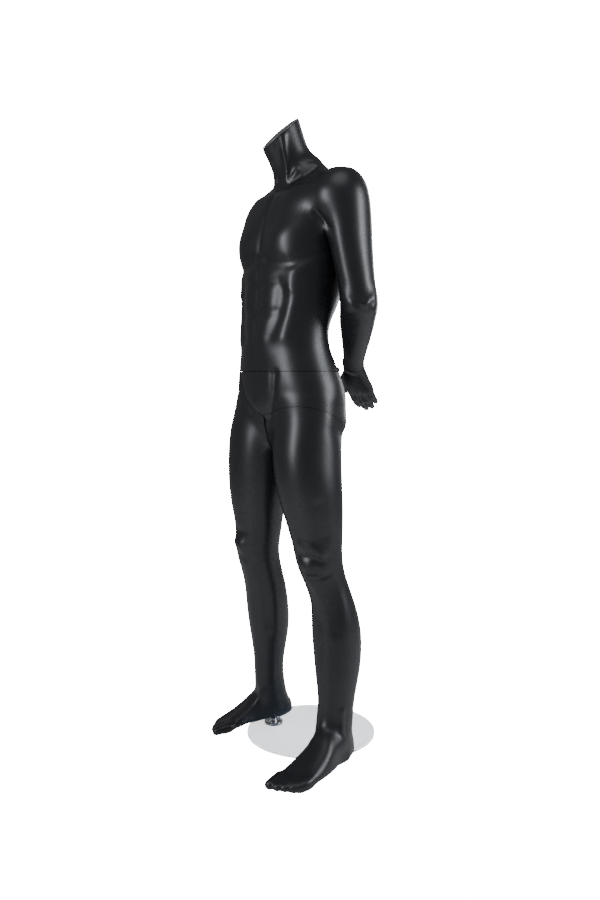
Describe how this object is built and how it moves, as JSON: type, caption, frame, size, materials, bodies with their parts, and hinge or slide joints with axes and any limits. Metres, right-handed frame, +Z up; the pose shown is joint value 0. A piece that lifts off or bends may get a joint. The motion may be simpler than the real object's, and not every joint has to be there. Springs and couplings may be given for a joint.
{
  "type": "full body mannequin",
  "caption": "Headless male display mannequin with a slanted neck cap, arms clasped behind the back, standing on a round glass base by a foot spigot; torso, arms, hands and leg turn or lift off.",
  "frame": {"origin": "centre of the round base's underside", "axes": "+Z up, along the figure; -Y toward the figure's front; +X toward the figure's left side"},
  "size_m": [0.5241, 0.487, 1.6124],
  "materials": {
    "satin_black": "satin",
    "light_grey": "satin",
    "steel": "brushed",
    "chrome": "polished",
    "glass": "clear",
    "rubber": "matte"
  },
  "bodies": {
    "base": {"base_disc": "glass", "base_gasket": "rubber", "base_flange": "chrome", "foot_rod": "chrome", "base_bolt": "chrome", "flange_stud_1": "chrome", "flange_stud_2": "chrome", "flange_stud_3": "chrome"},
    "figure": {"lower_body": "satin_black", "pelvis_waist_stud": "steel", "pelvis_hip_plate": "steel", "foot_socket": "steel", "calf_socket": "steel"},
    "torso": {"upper_torso": "satin_black", "neck_cap": "light_grey", "torso_waist_plate": "steel", "left_shoulder_plate": "steel", "right_shoulder_plate": "steel"},
    "left_arm": {"left_arm": "satin_black", "left_arm_stud": "steel", "left_wrist_socket": "steel"},
    "right_arm": {"right_arm": "satin_black", "right_arm_stud": "steel", "right_wrist_socket": "steel"},
    "left_hand": {"left_hand": "satin_black", "left_hand_stud": "steel"},
    "right_hand": {"right_hand": "satin_black", "right_hand_stud": "steel"},
    "left_leg": {"left_leg": "satin_black", "left_leg_stud": "steel"}
  },
  "joints": [
    {"name": "mannequin_lift", "type": "slide", "parent": "base", "child": "figure", "axis": [0, 0, 1], "range_m": [0, 0.07]},
    {"name": "waist_turn", "type": "hinge", "parent": "figure", "child": "torso", "pos_m": [0.044, -0.11, 0.987], "axis": [0, 0, 1], "range_deg": [-8, 8]},
    {"name": "left_arm_turn", "type": "hinge", "parent": "torso", "child": "left_arm", "pos_m": [0.1765, -0.076, 1.4], "axis": [0.9379, 0.3392, 0.0728], "range_deg": [0, 25]},
    {"name": "right_arm_turn", "type": "hinge", "parent": "torso", "child": "right_arm", "pos_m": [-0.0885, -0.076, 1.4], "axis": [0.9379, -0.3392, -0.0728], "range_deg": [-0.5, 1]},
    {"name": "left_hand_turn", "type": "hinge", "parent": "left_arm", "child": "left_hand", "pos_m": [0.11, 0.052, 1.004], "axis": [-0.6072, 0.461, -0.6471], "range_deg": [-20, 20]},
    {"name": "right_hand_turn", "type": "hinge", "parent": "right_arm", "child": "right_hand", "pos_m": [-0.082, 0.036, 0.975], "axis": [0.4699, 0.3594, -0.8062], "range_deg": [-6, 6]},
    {"name": "left_leg_turn", "type": "hinge", "parent": "figure", "child": "left_leg", "pos_m": [0.129, -0.1, 0.861], "axis": [-0.2276, 0.3459, 0.9103], "range_deg": [-2, 0]}
  ]
}
